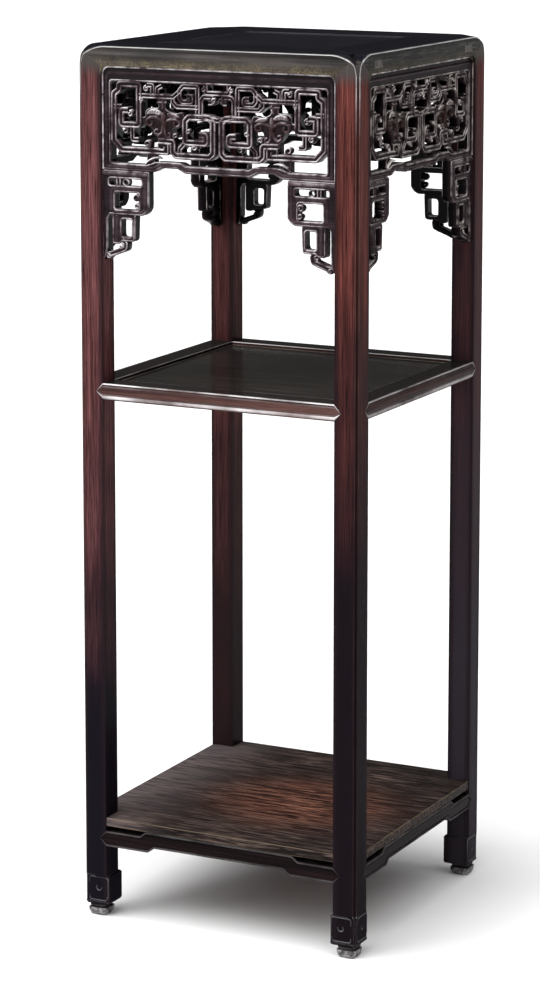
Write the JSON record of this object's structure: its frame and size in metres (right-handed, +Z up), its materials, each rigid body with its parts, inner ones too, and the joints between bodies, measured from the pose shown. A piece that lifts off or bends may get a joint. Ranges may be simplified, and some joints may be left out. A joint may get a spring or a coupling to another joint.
{
  "type": "hardwood display stand",
  "caption": "Tall square hardwood stand with rounded top corners, pierced scroll friezes, corner brackets, a framed middle shelf and a low board on humped stretchers.",
  "frame": {"origin": "on the floor under the middle of the stand", "axes": "+Z up, +X to the right along the front, front at -Y"},
  "size_m": [0.35, 0.35, 1.02],
  "materials": {
    "leg_wood": "dark red-brown polished hardwood",
    "top_wood": "grey-brown polished hardwood with worn edges",
    "panel_wood": "near-black polished hardwood",
    "carving_wood": "near-black carved hardwood with rubbed edges",
    "rail_wood": "red-brown polished hardwood",
    "board_wood": "red-brown figured hardwood, worn",
    "pad_wood": "bare grey-brown worn wood"
  },
  "bodies": {
    "root": {"leg_front_left": "leg_wood", "leg_front_right": "leg_wood", "leg_back_left": "leg_wood", "leg_back_right": "leg_wood", "foot_pad_front_left": "pad_wood", "foot_pad_front_right": "pad_wood", "foot_pad_back_left": "pad_wood", "foot_pad_back_right": "pad_wood", "top_rail_front": "top_wood", "top_rail_back": "top_wood", "top_rail_left": "top_wood", "top_rail_right": "top_wood", "top_panel": "panel_wood", "top_batten": "rail_wood", "frieze_front": "carving_wood", "frieze_back": "carving_wood", "frieze_left": "carving_wood", "frieze_right": "carving_wood", "bracket_front_left": "carving_wood", "bracket_front_right": "carving_wood", "bracket_back_left": "carving_wood", "bracket_back_right": "carving_wood", "bracket_left_front": "carving_wood", "bracket_left_back": "carving_wood", "bracket_right_front": "carving_wood", "bracket_right_back": "carving_wood", "shelf_rail_front": "rail_wood", "shelf_rail_back": "rail_wood", "shelf_rail_left": "rail_wood", "shelf_rail_right": "rail_wood", "shelf_panel": "panel_wood", "shelf_batten": "rail_wood", "low_board": "board_wood", "stretcher_front": "rail_wood", "stretcher_back": "rail_wood", "stretcher_left": "rail_wood", "stretcher_right": "rail_wood"}
  },
  "joints": []
}
